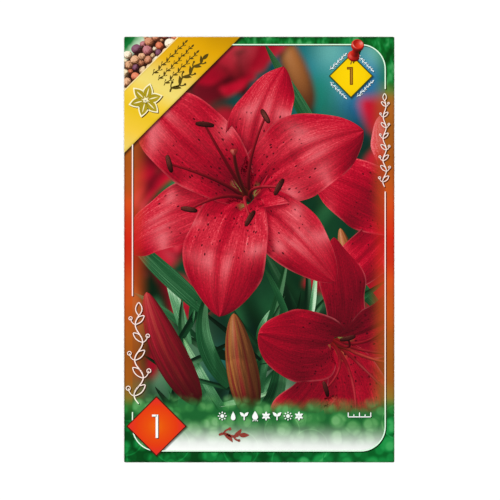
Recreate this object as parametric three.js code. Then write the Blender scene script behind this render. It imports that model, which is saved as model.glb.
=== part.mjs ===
// The printed picture card of a one-bulb lily pack: one sheet of die-cut coated board, in millimetres.
// The card lies on its back. +X runs across the card, +Y to its top edge and +Z out of its printed face.
// The origin is the middle of the back, so the card stands on z = 0.

import * as THREE from "three";

// Driving dimensions
const cardWidth = 127; // across, X
const cardHeight = 200; // bottom edge to top edge, Y
const boardThickness = 0.5; // solid bleached board of about 350 g/m2
const cornerRadius = 0.6; // what a square-ruled die leaves at a corner
const edgeRounding = 0.08; // how far the die presses the cut edge round
const edgeSteps = 3; // facets across the rounded edge
const cornerSteps = 6; // facets along each corner's arc

// The card's outline, smaller by the edge rounding that the bevel adds back.
function cardOutline() {
  const halfWidth = cardWidth / 2 - edgeRounding;
  const halfHeight = cardHeight / 2 - edgeRounding;
  const radius = cornerRadius - edgeRounding;
  const centreX = halfWidth - radius;
  const centreY = halfHeight - radius;
  const quarter = Math.PI / 2;
  const outline = new THREE.Shape();
  outline.moveTo(centreX, -halfHeight);
  outline.absarc(centreX, -centreY, radius, -quarter, 0, false);
  outline.absarc(centreX, centreY, radius, 0, quarter, false);
  outline.absarc(-centreX, centreY, radius, quarter, 2 * quarter, false);
  outline.absarc(-centreX, -centreY, radius, 2 * quarter, 3 * quarter, false);
  outline.closePath();
  return outline;
}

// The board: flat on both faces, with every cut edge pressed slightly round.
function boardGeometry() {
  const geometry = new THREE.ExtrudeGeometry(cardOutline(), {
    depth: boardThickness - 2 * edgeRounding,
    bevelEnabled: true,
    bevelThickness: edgeRounding,
    bevelSize: edgeRounding,
    bevelSegments: edgeSteps,
    curveSegments: cornerSteps,
  });
  geometry.translate(0, 0, edgeRounding);
  return geometry;
}

const varnishedPrint = new THREE.MeshStandardMaterial({
  color: "#b3202f",
  roughness: 0.35,
  metalness: 0,
});

const pictureCard = new THREE.Mesh(boardGeometry(), varnishedPrint);
pictureCard.name = "picture_card";

const card = new THREE.Group();
card.add(pictureCard);

export default card;
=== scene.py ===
# The printed picture card of a one-bulb lily pack, lying on its back under soft studio light.
# The print is a lily picture of this script's own. Its plants are modelled solid in front of the card,
# lit by rays, seen from straight above and pressed flat into thin sheets of ink on the board.
import math
from contextlib import contextmanager
from functools import partial

import bpy
import numpy as np
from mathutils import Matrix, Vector
from mathutils.bvhtree import BVHTree


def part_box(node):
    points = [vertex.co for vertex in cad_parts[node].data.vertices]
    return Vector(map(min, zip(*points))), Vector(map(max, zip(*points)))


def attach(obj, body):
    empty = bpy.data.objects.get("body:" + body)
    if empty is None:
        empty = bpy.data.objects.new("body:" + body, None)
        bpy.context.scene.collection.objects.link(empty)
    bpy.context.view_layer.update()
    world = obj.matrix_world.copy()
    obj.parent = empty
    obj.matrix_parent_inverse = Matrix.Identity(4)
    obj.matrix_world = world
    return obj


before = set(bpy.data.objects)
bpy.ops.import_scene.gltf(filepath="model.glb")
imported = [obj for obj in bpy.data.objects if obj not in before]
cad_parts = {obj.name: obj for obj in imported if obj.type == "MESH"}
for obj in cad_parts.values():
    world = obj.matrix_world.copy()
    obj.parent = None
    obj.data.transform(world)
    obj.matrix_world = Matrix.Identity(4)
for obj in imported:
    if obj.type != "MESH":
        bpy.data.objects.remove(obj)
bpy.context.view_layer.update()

mm = 0.001  # the dictionaries below are in millimetres, Blender works in metres
cardLow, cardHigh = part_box("picture_card")
halfWidth = (cardHigh.x - cardLow.x) / 2 / mm
halfHeight = (cardHigh.y - cardLow.y) / 2 / mm
faceHeight = cardHigh.z / mm
draws = np.random.default_rng(7)
goldenAngle = math.pi * (3 - math.sqrt(5))  # spreads points evenly along a spiral

# The card's layout, measured from the middle of its printed face
layout = {
    "bleed": 0.03,  # bare board left round the print by the die
    "cardRadius": 0.6, "cornerSteps": 12,
    "window": (-59.58, 59.18, -94.6, 96.32),  # the picture's left, right, foot and top
    "windowRadius": 11.5, "keyline": 0.55,
    "leftGap": (-76.3, -21.8), "rightGap": (27.3, 75.5),  # the keyline is open there, for a sprig
    "bandFoot": 108.9, "bandHead": 138.4,  # the band lies between y = x + bandFoot and y = x + bandHead
    "topBadge": (43.1, 81.6), "topReach": 9.9, "footBadge": (-48.3, -83.0), "footReach": 13.7,
    "badgeOutline": 0.5,
}
left, right, foot, top = layout["window"]
leftEdge, topEdge = layout["bleed"] - halfWidth, halfHeight - layout["bleed"]
cardBox = (leftEdge, -leftEdge, -topEdge, topEdge)
toCorner, toPicture = (-1, 1), (1, -1)  # which side of the band's edges a cut takes away

# Heights of the ink sheets above the board's printed face
ink = {
    "border": 0.005, "scenery": 0.010, "corner": 0.012, "bulbs": 0.018, "bulbsDepth": 0.020,
    "garden": 0.016, "gardenDepth": 0.080, "keyline": 0.104, "band": 0.112, "mark": 0.122, "step": 0.004,
    "badge": 0.136, "figure": 0.146, "pinShade": 0.156, "pin": 0.162, "pinDepth": 0.020,
    "shadeDrop": 0.005,  # how far a printed shade lies under its own mark
    "strokeStep": 0.00004,  # each stroke of a mark lies this much above the one before
}


def linear(hexColour):
    parts = [int(hexColour[i:i + 2], 16) / 255 for i in (1, 3, 5)]
    return [p / 12.92 if p <= 0.04045 else ((p + 0.055) / 1.055) ** 2.4 for p in parts]


def unit(vectors):
    vectors = np.asarray(vectors, float)
    return vectors / np.linalg.norm(vectors, axis=-1, keepdims=True)


def directions(turns):
    return np.column_stack([np.cos(turns), np.sin(turns)])


def ease(value, start, end):
    part = np.clip((value - start) / (end - start), 0, 1)
    return part * part * (3 - 2 * part)


def drawn(form, *keys):
    return [draws.uniform(*form[key]) for key in keys]


def pickOnly(*pieces):
    bpy.ops.object.select_all(action="DESELECT")
    for piece in pieces:
        piece.select_set(True)
    bpy.context.view_layer.objects.active = pieces[0]


def added(name, operator, **settings):
    bpy.ops.object.select_all(action="DESELECT")
    operator(**settings)
    bpy.context.object.name = name
    return bpy.context.object


@contextmanager
def editMode(piece):
    pickOnly(piece)
    bpy.ops.object.mode_set(mode="EDIT")
    bpy.ops.mesh.select_all(action="SELECT")
    yield
    bpy.ops.object.mode_set(mode="OBJECT")


def readVectors(piece, attribute="co"):
    values = np.zeros(len(piece.data.vertices) * 3, np.float32)
    piece.data.vertices.foreach_get(attribute, values)
    return values.reshape(-1, 3).astype(float)


def movePoints(piece, points):
    piece.data.vertices.foreach_set("co", points.astype(np.float32).ravel())
    piece.data.update()


def storeOnPoints(piece, name, values, kind="FLOAT"):
    key = {"FLOAT": "value", "FLOAT_VECTOR": "vector", "FLOAT_COLOR": "color"}[kind]
    attribute = piece.data.attributes.new(name, kind, "POINT")
    attribute.data.foreach_set(key, np.asarray(values, np.float32).ravel())


def shown(sockets):
    return [socket for socket in sockets if socket.enabled]


# Every mix here is one of colours, and every pattern of cells is flat
usualSettings = {"Mix": {"data_type": "RGBA"}, "TexVoronoi": {"voronoi_dimensions": "2D"}}


# Adds a node with its settings, by their small names, and its inputs, in the order in which the node shows
# them or by their capital names. An input is a socket, a node's first output, a hex colour or a number.
def addNode(tree, kind, *inputs, stops=(), **named):
    node = tree.nodes.new("ShaderNode" + kind)
    settings = {key: value for key, value in named.items() if key.islower()}
    for key, value in {**usualSettings.get(kind, {}), **settings}.items():
        setattr(node, key, value)
    ramp = node.color_ramp.elements if stops else []
    while len(ramp) < len(stops):
        ramp.new(0.5)
    for element, (position, colour) in zip(ramp, stops):
        element.position = position
        element.color = (*linear(colour), 1)
    filled = [*zip(shown(node.inputs), inputs)]
    filled += [(node.inputs[key], named[key]) for key in named if key not in settings]
    for socket, value in filled:
        value = shown(value.outputs)[0] if isinstance(value, bpy.types.Node) else value
        if isinstance(value, bpy.types.NodeSocket):
            tree.links.new(value, socket)
        else:
            socket.default_value = (*linear(value), 1) if isinstance(value, str) else value
    return node


# How finely each shape is divided, along it and across it
gridSteps = {
    "tepal": (104, 46), "filament": (40, 10), "anther": (30, 18), "style": (90, 20), "bud": (90, 64),
    "stalk": (40, 16), "leaf": (70, 20), "smallLeaf": (40, 8), "softLeaf": (16, 4), "bulb": (16, 18),
    "pin": (150, 48),
}


# A grid is added flat, two units square, and every point is then moved to its place on the shape.
# Along runs from 0 to 1 and across from -1 to 1. The shape also gives its half width there.
def shapedGrid(name, steps, shape, finish, detail=1.0):
    alongSteps, acrossSteps = [int(count * detail) for count in steps]
    piece = added(name, bpy.ops.mesh.primitive_grid_add, x_subdivisions=alongSteps,
                  y_subdivisions=acrossSteps, size=2)
    piece["finish"] = finish
    piece["rows"] = acrossSteps + 1
    flat = readVectors(piece)
    along, across = (flat[:, 0] + 1) / 2, flat[:, 1]
    points, reach = shape(along, across)
    movePoints(piece, points * mm)
    storeOnPoints(piece, "place", np.column_stack([along, across, reach]), "FLOAT_VECTOR")
    return piece


def bezier(points, along):
    rows = [np.outer(np.ones_like(along), p) for p in points]
    share = along[:, None]
    while len(rows) > 1:
        rows = [a * (1 - share) + b * share for a, b in zip(rows, rows[1:])]
    return rows[0]


def framed(points, along, facing=(0, 0, 1)):
    tangent = unit(bezier(points, along + 1e-3) - bezier(points, along - 1e-3))
    side = unit(np.cross(tangent, facing))
    return bezier(points, along), side, np.cross(side, tangent)


def tubeShape(points, radius):
    def shape(along, across):
        centre, side, lift = framed(points, along)
        angle = across * math.pi
        reach = radius(along, angle)
        rim = np.sin(angle)[:, None] * side + np.cos(angle)[:, None] * lift
        return centre + rim * reach[:, None], reach
    return shape


# A leaf widens fast from its foot and tapers to its tip, folded up along its rib and waved at its rims
leafForm = {"widest": 1.75, "foot": 0.45, "tip": 0.75, "fold": 0.35, "wave": 0.10, "waves": 9, "flat": 0.95}


def leafShape(leaf):
    def shape(along, across):
        centre, side, lift = framed(leaf["path"], along, leaf.get("facing", (0, 0, 1)))
        profile = (along + 0.04) ** leafForm["foot"] * (1.001 - along) ** leafForm["tip"]
        reach = leaf["halfWidth"] * profile * leafForm["widest"]
        wave = leafForm["wave"] * np.sin(along * leafForm["waves"] + leaf["path"][0][0])
        up = (leafForm["fold"] + wave) * np.abs(across) * reach
        spread = (across * reach * leafForm["flat"])[:, None] * side
        return centre + spread + up[:, None] * lift, reach
    return shape


# The lily: six tepals in two rings, six stamens and a style round one axis, each tepal with its own luck
tepalKinds = {
    "inner": {"length": 66, "halfWidth": 17.5, "lean": (24, 66, 112), "swell": 0.84, "taper": 0.66,
              "drop": 0.0, "groove": 1.0},
    "outer": {"length": 65, "halfWidth": 12.5, "lean": (28, 74, 124), "swell": 0.90, "taper": 0.72,
              "drop": -1.6, "groove": 0.7},
}
lilyForm = {
    # how far luck turns, bends, rolls or lengthens a tepal or a stamen, the angles in degrees
    "leanLuck": (4, 6, 14), "lengthLuck": 0.03, "bendLuck": 5, "rollLuck": 0.30, "turnLuck": (5, 9),
    "throat": 2.4, "neck": 2.1, "ribHalf": 0.085, "ribSides": (0.24, 0.13),  # place and half width
    "ruffle": 2.6, "ruffleWaves": 2.1, "rufflePower": 2.6,
    "curl": ([0, 0.15, 0.4, 0.7, 1], [0.75, 0.55, 0.12, -0.20, -0.42]),  # from trough to turned back tip
    "stamenPath": [(1.5, 2), (4, 20), (13, 34), (25, 42)],  # out from the axis, up along it
    "filamentRadius": 0.85, "filamentTaper": (1.15, 0.6), "reachLuck": 0.14, "stamenTurn": 28,
    "antherLength": 8.0, "antherRadius": 1.15, "antherArch": 1.2, "antherLuck": (0.8, 0.5),
    "stylePath": [(0, 0), (1, 18), (3, 36), (8, 50)], "styleRadius": 1.0, "styleTurn": 1.1,
}


def lilyFrame(lily, turn):
    axis = unit(lily["axis"])
    first = unit(np.cross((0, 1, 0), axis))
    outward = math.cos(turn) * first + math.sin(turn) * np.cross(axis, first)
    return axis, outward, np.cross(axis, outward)


def tepalShape(lily, kind, turn, luck):
    form, size = tepalKinds[kind], lily["size"]
    samples = np.linspace(0, 1, 200)
    base, middle, tip = form["lean"]
    atBase, atMiddle, atTip = luck[:3] * lilyForm["leanLuck"]
    lean = base + atBase + (middle - base + atMiddle) * ease(samples, 0, 0.45)
    lean = np.radians((lean + (tip - middle + atTip) * ease(samples, 0.4, 1)) * lily.get("open", 1))
    step = form["length"] * (1 + luck[3] * lilyForm["lengthLuck"]) * size / len(samples)
    reach = lilyForm["throat"] * size + np.cumsum(np.sin(lean)) * step
    height = form["drop"] * size + np.cumsum(np.cos(lean)) * step
    axis, outward, sideways = lilyFrame(lily, turn)
    swell, taper = form["swell"], form["taper"]
    peak = (swell / (swell + taper)) ** swell * (taper / (swell + taper)) ** taper

    def shape(along, across):
        here = np.interp(along, samples, lean)[:, None]
        bend = luck[4] * lilyForm["bendLuck"] * size * along ** 2
        spine = np.interp(along, samples, reach)[:, None] * outward + bend[:, None] * sideways
        spine = spine + np.interp(along, samples, height)[:, None] * axis + lily["centre"]
        profile = along ** swell * np.maximum(1 - along, 0) ** taper / peak
        wide = size * (form["halfWidth"] * profile + lilyForm["neck"] * (1 - along) ** 5 + 0.1)
        curl = np.interp(along, *lilyForm["curl"])
        sidePlace, sideHalf = lilyForm["ribSides"]
        rib = -form["groove"] * np.exp(-(across / lilyForm["ribHalf"]) ** 2) * (1 - 0.75 * along)
        ribSides = 0.75 * form["groove"] * np.exp(-((np.abs(across) - sidePlace) / sideHalf) ** 2)
        ribs = (rib + ribSides * (1 - 0.6 * along)) * ease(along, 0, 0.12) * size
        swing = 2 * math.pi * (lilyForm["ruffleWaves"] * along + luck[5]) + np.sign(across) * 1.1
        ruffle = lilyForm["ruffle"] * size * np.abs(across) ** lilyForm["rufflePower"] * np.sin(swing)
        ruffle = ruffle * ease(along, 0.12, 0.5) * (1 - along ** 6)
        roll = (luck[6] * lilyForm["rollLuck"] * along)[:, None]
        normal = np.sin(here) * axis - np.cos(here) * outward
        flatSide = np.cos(roll) * sideways + np.sin(roll) * normal
        normal = np.cos(roll) * normal - np.sin(roll) * sideways
        lift = curl * wide * across ** 2 + ribs + ruffle
        spread = across * wide / (1 + 0.30 * curl ** 2 * across ** 2)
        return spine + spread[:, None] * flatSide + lift[:, None] * normal, wide
    return shape


# A pollen sac, plump at its middle, with a groove down its face
def antherRadius(thick, along, angle):
    plump = np.maximum(4 * along * (1 - along), 0) ** 0.35
    return thick * plump * (1 - 0.28 * np.exp(-(angle / 0.5) ** 2)) + 0.01


# An ovary at the foot, and a knob of three lobes at the tip
def styleRadius(thick, along, angle):
    ovary = 1.1 * np.exp(-((along - 0.08) / 0.10) ** 2)
    knob = 1.5 * ease(along, 0.93, 0.98) * np.sqrt(1 - ease(along, 0.97, 1.0))
    lobes = 1 + 0.2 * np.cos(3 * angle) * ease(along, 0.9, 1)
    return thick * (0.85 + ovary + knob) * lobes * np.maximum(1 - along, 0) ** 0.1 + 0.01


def lilyPieces(lily, detail):
    size, centre, name = lily["size"], np.array(lily["centre"], float), lily["name"]
    tepalLuck, stamenLuck = lilyForm["turnLuck"]
    thickFoot, thinner = lilyForm["filamentTaper"]
    outLuck, upLuck = lilyForm["antherLuck"]
    pieces = []
    for k in range(6):
        luck = draws.uniform(-1, 1, 7)
        turn = math.radians(lily["turn"] + k * 60 + luck[0] * tepalLuck)
        shape = tepalShape(lily, "outer" if k % 2 else "inner", turn, luck)
        pieces.append(shapedGrid(f"{name}_tepal_{k}", gridSteps["tepal"], shape, "tepal", detail))
        pieces[-1]["lift"] = lily.get("lift", 1.0)
    for k in range(6):
        luck = draws.uniform(-1, 1, 4)
        turn = math.radians(lily["turn"] + lilyForm["stamenTurn"] + k * 60 + luck[0] * stamenLuck)
        axis, outward, sideways = lilyFrame(lily, turn)
        path = [centre + size * (r * outward * (1 + lilyForm["reachLuck"] * luck[1]) + h * axis)
                for r, h in lilyForm["stamenPath"]]
        thick = lilyForm["filamentRadius"] * size
        shape = tubeShape(path, lambda along, angle: thick * (thickFoot - thinner * along))
        pieces.append(shapedGrid(f"{name}_filament_{k}", gridSteps["filament"], shape, "filament"))
        swing = unit(sideways + luck[2] * outLuck * outward + luck[3] * upLuck * axis)
        half = lilyForm["antherLength"] * size / 2
        arch = path[3] + axis * lilyForm["antherArch"] * size
        path = [path[3] - swing * half, arch, path[3] + swing * half]
        shape = tubeShape(path, partial(antherRadius, lilyForm["antherRadius"] * size))
        pieces.append(shapedGrid(f"{name}_anther_{k}", gridSteps["anther"], shape, "anther"))
    axis, outward, sideways = lilyFrame(lily, lilyForm["styleTurn"])
    path = [centre + size * (r * outward + h * axis) for r, h in lilyForm["stylePath"]]
    shape = tubeShape(path, partial(styleRadius, lilyForm["styleRadius"] * size))
    pieces.append(shapedGrid(f"{name}_style", gridSteps["style"], shape, "style"))
    return pieces


# A closed bud is three outer tepals pressed together, with a rib down each and a seam between them
budForm = {"foot": 0.55, "tip": 0.62, "fullest": 1.86, "seam": 0.13, "seamHalf": 0.16, "rib": 0.035,
           "stalk": (1.25, 0.75)}  # its radius, and how much it widens under the bud


def budPieces(bud, detail):
    def radius(along, angle):
        swelling = (np.clip(along, 0, 1) + 0.02) ** budForm["foot"]
        closing = np.maximum(1 - along, 0) ** budForm["tip"]
        seam = np.abs(np.sin(1.5 * (angle + bud["roll"])))
        ribs = 1 - budForm["seam"] * np.exp(-(seam / budForm["seamHalf"]) ** 2)
        ribs = ribs + budForm["rib"] * np.cos(6 * (angle + 0.3))
        return bud["radius"] * (swelling * closing * budForm["fullest"]) * ribs + 0.15
    foot, tip = np.array(bud["path"][0], float), np.array(bud["path"][-1], float)
    shape = tubeShape(bud["path"], radius)
    pieces = [shapedGrid(bud["name"], gridSteps["bud"], shape, bud.get("finish", "bud"), detail)]
    path = [*bud["stalk"], foot + (tip - foot) * 0.03]
    thin, wider = budForm["stalk"]
    shape = tubeShape(path, lambda along, angle: thin + wider * ease(along, 0.85, 1))
    pieces.append(shapedGrid(bud["name"] + "_stalk", gridSteps["stalk"], shape, "stem"))
    return pieces


# What is printed sharp: x and y are places on the card, z is how far in front of it a plant stands
sharpLilies = [
    {"name": "first", "centre": (-5, 24, 0), "axis": (-0.20, 0.26, 0.94), "turn": 22, "size": 1.14},
    {"name": "second", "centre": (35, -43, -30), "axis": (0.46, -0.34, 0.82), "turn": 50, "size": 0.98,
     "lift": 1.22},
    {"name": "third", "centre": (63, 12, -80), "axis": (0.42, 0.16, 0.89), "turn": 34, "size": 0.92,
     "open": 0.96, "lift": 1.35},
]
sharpBuds = [
    {"name": "bud_ripe", "radius": 9.0, "roll": 0.5, "finish": "ripe",
     "path": [(-29, -72, -34), (-37, -58, -26), (-47, -44, -20), (-53, -20, -16)],
     "stalk": [(-10, -100, -52), (-14, -88, -44), (-23, -80, -38)]},
    {"name": "bud_bronze", "radius": 8.6, "roll": 1.5,
     "path": [(-4, -78, -36), (-6, -66, -30), (-10, -50, -27), (-12, -30, -27)],
     "stalk": [(-6, -100, -52), (-4, -92, -46), (-3, -84, -40)]},
    {"name": "bud_small", "radius": 5.0, "roll": 0.9,
     "path": [(45, -30, -74), (45, -18, -70), (42, -6, -68), (38, 10, -70)],
     "stalk": [(40, -70, -88), (44, -44, -82)]},
]
sharpLeaves = [  # half width, then the path from foot to tip
    (6.5, [(-9, -94, -56), (-30, -84, -50), (-46, -76, -46), (-64, -78, -52)]),
    (5.5, [(-8, -88, -56), (4, -78, -52), (14, -66, -52), (8, -40, -56)]),
    (6.0, [(-8, -98, -58), (12, -94, -56), (34, -90, -56), (52, -82, -60)]),
    (5.5, [(-24, -30, -62), (-40, -14, -60), (-54, -4, -60), (-64, 10, -64)]),
    (5.0, [(-14, -64, -60), (-26, -50, -58), (-30, -36, -58), (-24, -20, -60)]),
    (4.6, [(2, -98, -80), (4, -70, -72), (12, -44, -70), (34, -20, -76)]),
    (4.2, [(-2, -98, -84), (-6, -66, -80), (6, -40, -78), (14, 0, -84)]),
    (4.6, [(-8, -98, -76), (-22, -80, -74), (-40, -56, -74), (-36, -22, -80)]),
    (4.0, [(58, -30, -96), (44, -12, -92), (32, -4, -90), (18, -2, -96)]),
    (4.2, [(34, 36, -98), (27, 58, -94), (16, 72, -94), (2, 98, -98)]),
]
sprays = {"count": 44, "x": (-46, 56), "y": (-96, -34), "depth": (-96, -62), "length": (18, 44),
          "heading": (0.05, 0.95), "halfWidth": (1.4, 3.4), "lift": (0.35, 1.75), "arch": 7,
          "bendLuck": 2.5, "tipRise": (-6, 4), "facingLuck": 0.45}

# What is printed out of focus, further back
softLilies = [
    {"name": "soft_a", "centre": (-46, 40, -115), "axis": (-0.3, 0.5, 0.8), "turn": 0, "size": 1.1},
    {"name": "soft_b", "centre": (-6, 72, -104), "axis": (-0.34, 0.80, 0.42), "turn": 10, "size": 0.72,
     "open": 0.72, "lift": 0.85},
    {"name": "soft_c", "centre": (60, -8, -105), "axis": (0.5, 0.2, 0.8), "turn": 10, "size": 0.9},
    {"name": "soft_d", "centre": (-54, -22, -120), "axis": (-0.5, 0.2, 0.8), "turn": 50, "size": 0.8},
    {"name": "soft_e", "centre": (66, 46, -124), "axis": (0.6, 0.2, 0.7), "turn": 20, "size": 0.62},
]
softBuds = [
    {"name": "soft_bud_a", "radius": 6.4, "roll": 0.4,
     "path": [(24, 66, -82), (21, 78, -78), (15, 90, -78), (8, 104, -82)],
     "stalk": [(30, 20, -96), (29, 48, -90)]},
    {"name": "soft_bud_b", "radius": 7, "roll": 1.1,
     "path": [(-56, -52, -90), (-54, -40, -86), (-58, -26, -86), (-64, -12, -90)],
     "stalk": [(-40, -100, -96), (-48, -74, -92)]},
]
softLeaves = {"count": 52, "x": (-75, 75), "y": (-120, 30), "depth": (-240, -85), "length": (40, 105),
              "halfWidth": (2.5, 7.5), "heading": (0.15, 0.85), "tipRise": 20, "bend": (0.3, 0.6, 30),
              "facingLuck": 0.5}

# Printed tones from shade to light, for the sharp plants and the soft ones alike
tones = {
    "tepal": [(0.0, "#190406"), (0.12, "#42060F"), (0.28, "#76061A"), (0.46, "#9C0620"),
              (0.62, "#BA0828"), (0.78, "#D02238"), (0.90, "#DF4651"), (1.0, "#EB7076")],
    "filament": [(0.0, "#240206"), (0.4, "#84101C"), (0.7, "#BC2C38"), (1.0, "#E27274")],
    "anther": [(0.0, "#0E0404"), (0.4, "#34100F"), (0.7, "#5C221C"), (1.0, "#96584A")],
    "style": [(0.0, "#280808"), (0.4, "#8A2020"), (0.7, "#C84A3C"), (1.0, "#F0A890")],
    "ripe": [(0.0, "#1A0306"), (0.22, "#560A14"), (0.45, "#8E1222"), (0.7, "#BC2A38"), (1.0, "#E06A66")],
    "bud": [(0.0, "#180A04"), (0.3, "#5C3219"), (0.55, "#A2632F"), (0.8, "#D0945C"), (1.0, "#F0C896")],
    "stem": [(0.0, "#040B05"), (0.4, "#1C421F"), (0.7, "#4A8040"), (1.0, "#9CC07C")],
    "leaf": [(0.0, "#020604"), (0.25, "#05200F"), (0.5, "#1A522C"), (0.75, "#5C9868"), (1.0, "#C4E0C0")],
    "pin": [(0.0, "#3A0604"), (0.4, "#B01810"), (0.7, "#E03A24"), (1.0, "#FFB8A4")],
}

# Daylight in the picture: open sky over the card's top edge and a low sun at the upper left
daylight = {
    "lamps": 64, "roughLamps": 20, "sun": (-0.58, 0.50, 0.62), "sunSpread": 0.07, "sunPower": 5.2,
    "sky": 0.62, "ground": 0.10, "through": 0.30, "bounce": 0.07, "reach": 90.0, "gap": 0.22,
    "exposure": 0.71, "black": 0.12, "grazing": 0.03, "sunShare": 1.2, "lookFrom": (0.10, 0.06),
    "sheens": ((0.15, 14), (0.42, 70)),  # strength and sharpness of each
}


# Lamps spread evenly over a sphere along a golden spiral, brightest towards the sun
def daylightLamps(count):
    height = 1 - 2 * (np.arange(count) + 0.5) / count
    turn = np.arange(count) * goldenAngle
    lamps = np.column_stack([np.sqrt(1 - height ** 2)[:, None] * directions(turn), height])
    openness = ease(lamps @ unit((0, 1, 0.35)), -0.7, 0.9)
    sky = daylight["ground"] + (daylight["sky"] - daylight["ground"]) * openness
    sun = daylight["sunPower"] * np.exp((lamps @ unit(daylight["sun"]) - 1) / daylight["sunSpread"])
    return lamps, (sky + sun) * 4 / count, sun


def rayTree(pieces):
    points, faces, start = [], [], 0
    for piece in pieces:
        points.append(readVectors(piece))
        faces += [[start + corner for corner in face.vertices] for face in piece.data.polygons]
        start += len(piece.data.vertices)
    return BVHTree.FromPolygons(np.vstack(points).tolist(), faces)


# A grid's points lie in rows, so values on it are smoothed as a table
def smoothed(piece, values, rounds):
    table = np.asarray(values, float).reshape(piece["rows"], -1)
    for _ in range(rounds):
        wide = np.pad(table, 1, mode="edge")
        table = (2 * table + wide[:-2, 1:-1] + wide[2:, 1:-1] + wide[1:-1, :-2] + wide[1:-1, 2:]) / 6
    return table.ravel()


def shownNormals(piece):
    normals = readVectors(piece, "normal")
    normals[normals[:, 2] < 0] *= -1
    return normals


# How much light reaches each needed point of a plant, on the side that the picture shows
def lightOn(piece, tree, needed, count):
    points, normals = readVectors(piece), shownNormals(piece)
    thin = piece["finish"] in ("tepal", "leaf")
    lamps, powers, suns = daylightLamps(count)
    gap, reach = daylight["gap"] * mm, daylight["reach"] * mm
    front = [Vector(p) for p in points + normals * gap]
    back = [Vector(p) for p in points - normals * gap]
    light, sunSeen = np.zeros(len(points)), np.zeros(len(points))
    for lamp, power, sun in zip(lamps, powers, suns):
        direction = Vector(lamp)
        facing = normals @ lamp
        for i in np.nonzero(needed & (np.abs(facing) > daylight["grazing"]) & (thin | (facing > 0)))[0]:
            lit = facing[i] > 0
            blocked = tree.ray_cast(front[i] if lit else back[i], direction, reach)[0] is not None
            got = min(daylight["bounce"], power) if blocked else power
            light[i] += got * abs(facing[i]) * (1 if lit else daylight["through"])
            if lit and not blocked:
                sunSeen[i] += sun
    halfway = unit(unit(daylight["sun"]) + np.array((0, 0, 1.0)))
    shine = np.maximum(normals @ halfway, 0)
    sheen = sum(strength * shine ** sharpness for strength, sharpness in daylight["sheens"])
    sheen = sheen * np.clip(daylight["sunShare"] * sunSeen / suns.sum(), 0, 1)
    return np.maximum(light * daylight["exposure"] - daylight["black"], 0), sheen


# Only what the picture shows is kept of a piece, and a little round it that lies under its neighbours
def exposePiece(piece, tree):
    outside, above = daylight["lookFrom"]
    starts = readVectors(piece) + (shownNormals(piece) * outside + np.array((0, 0, above))) * mm
    up = Vector((0, 0, 1))
    seen = np.array([tree.ray_cast(Vector(p), up)[0] is None for p in starts], float)
    needed = smoothed(piece, seen, 2) > 0
    count = daylight["lamps"]
    light, sheen = lightOn(piece, tree, needed, count)
    rounds = 1 if piece["finish"] in ("anther", "filament") else 2
    weight = np.maximum(smoothed(piece, needed, rounds), 1e-6)
    storeOnPoints(piece, "light", smoothed(piece, light * needed, rounds) / weight * piece.get("lift", 1.0))
    storeOnPoints(piece, "sheen", smoothed(piece, sheen * needed, rounds) / weight)
    kept = smoothed(piece, seen, 1) > 0
    pickOnly(piece)
    for vertex in piece.data.vertices:
        vertex.select = False
    for face in piece.data.polygons:
        face.select = not any(kept[corner] for corner in face.vertices)
    bpy.context.tool_settings.mesh_select_mode = (False, False, True)
    bpy.ops.object.mode_set(mode="EDIT")
    bpy.ops.mesh.delete(type="FACE")
    bpy.ops.object.mode_set(mode="OBJECT")


# Gives how deep and how high what is left of the pieces reaches
def exposeAll(pieces):
    tree = rayTree(pieces)
    for piece in pieces:
        exposePiece(piece, tree)
    heights = np.concatenate([readVectors(piece)[:, 2] / mm for piece in pieces])
    return heights.min(), heights.max()


# Cuts away what lies on the side that each normal points to
def cutAway(piece, *cuts):
    with editMode(piece):
        bpy.ops.mesh.select_mode(type="VERT")
        for (x, y), (dx, dy) in cuts:
            bpy.ops.mesh.select_all(action="SELECT")
            bpy.ops.mesh.bisect(plane_co=(x * mm, y * mm, 0), plane_no=(dx, dy, 0), clear_outer=True,
                                threshold=0.001 * mm)


# The middle of the arc at one of the window's four corners
def windowCorner(xSide, ySide):
    x, y = right if xSide > 0 else left, top if ySide > 0 else foot
    return np.array((x - xSide * layout["windowRadius"], y - ySide * layout["windowRadius"]))


edgeCuts = [((leftEdge, 0), (-1, 0)), ((0, topEdge), (0, 1))]
windowCuts = []
for start, xSide, ySide in ((0, 1, 1), (90, -1, 1), (180, -1, -1), (270, 1, -1)):
    for out in directions(np.radians(np.arange(start, start + 91, 10))):
        windowCuts.append((windowCorner(xSide, ySide) + layout["windowRadius"] * out, out))


def turnUp(piece):
    for face in piece.data.polygons:
        if face.normal.z < 0:
            face.flip()
    piece.data.update()


# Presses the solid plants flat, nearest on top, and turns every face up
def pressFlat(piece, lowest, depth, deep):
    points = readVectors(piece)
    points[:, 2] = (faceHeight + lowest) * mm + (points[:, 2] - deep[0] * mm) * depth / (deep[1] - deep[0])
    movePoints(piece, points)
    turnUp(piece)


def joined(name, pieces):
    pickOnly(*pieces)
    if len(pieces) > 1:
        bpy.ops.object.join()
    piece = bpy.context.object
    piece.name = name
    return piece


def onCard(piece, *inks):
    if inks:
        piece.data.materials.clear()
    for filling in inks:
        piece.data.materials.append(filling)
    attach(piece, "root")
    return piece


# The paint function gets a function that adds nodes and the place in millimetres, and gives what is linked
# to the shader
def newMaterial(name, settings, paint):
    material = bpy.data.materials.new(name)
    material.use_nodes = True
    tree = material.node_tree
    shader = tree.nodes["Principled BSDF"]
    for key, value in settings.items():
        shader.inputs[key].default_value = value
    add = partial(addNode, tree)
    place = add("Mapping", add("TexCoord").outputs["Object"], Scale=(1 / mm, 1 / mm, 1 / mm))
    for key, node in paint(add, place).items():
        tree.links.new(shown(node.outputs)[0], shader.inputs[key])
    return material


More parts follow.
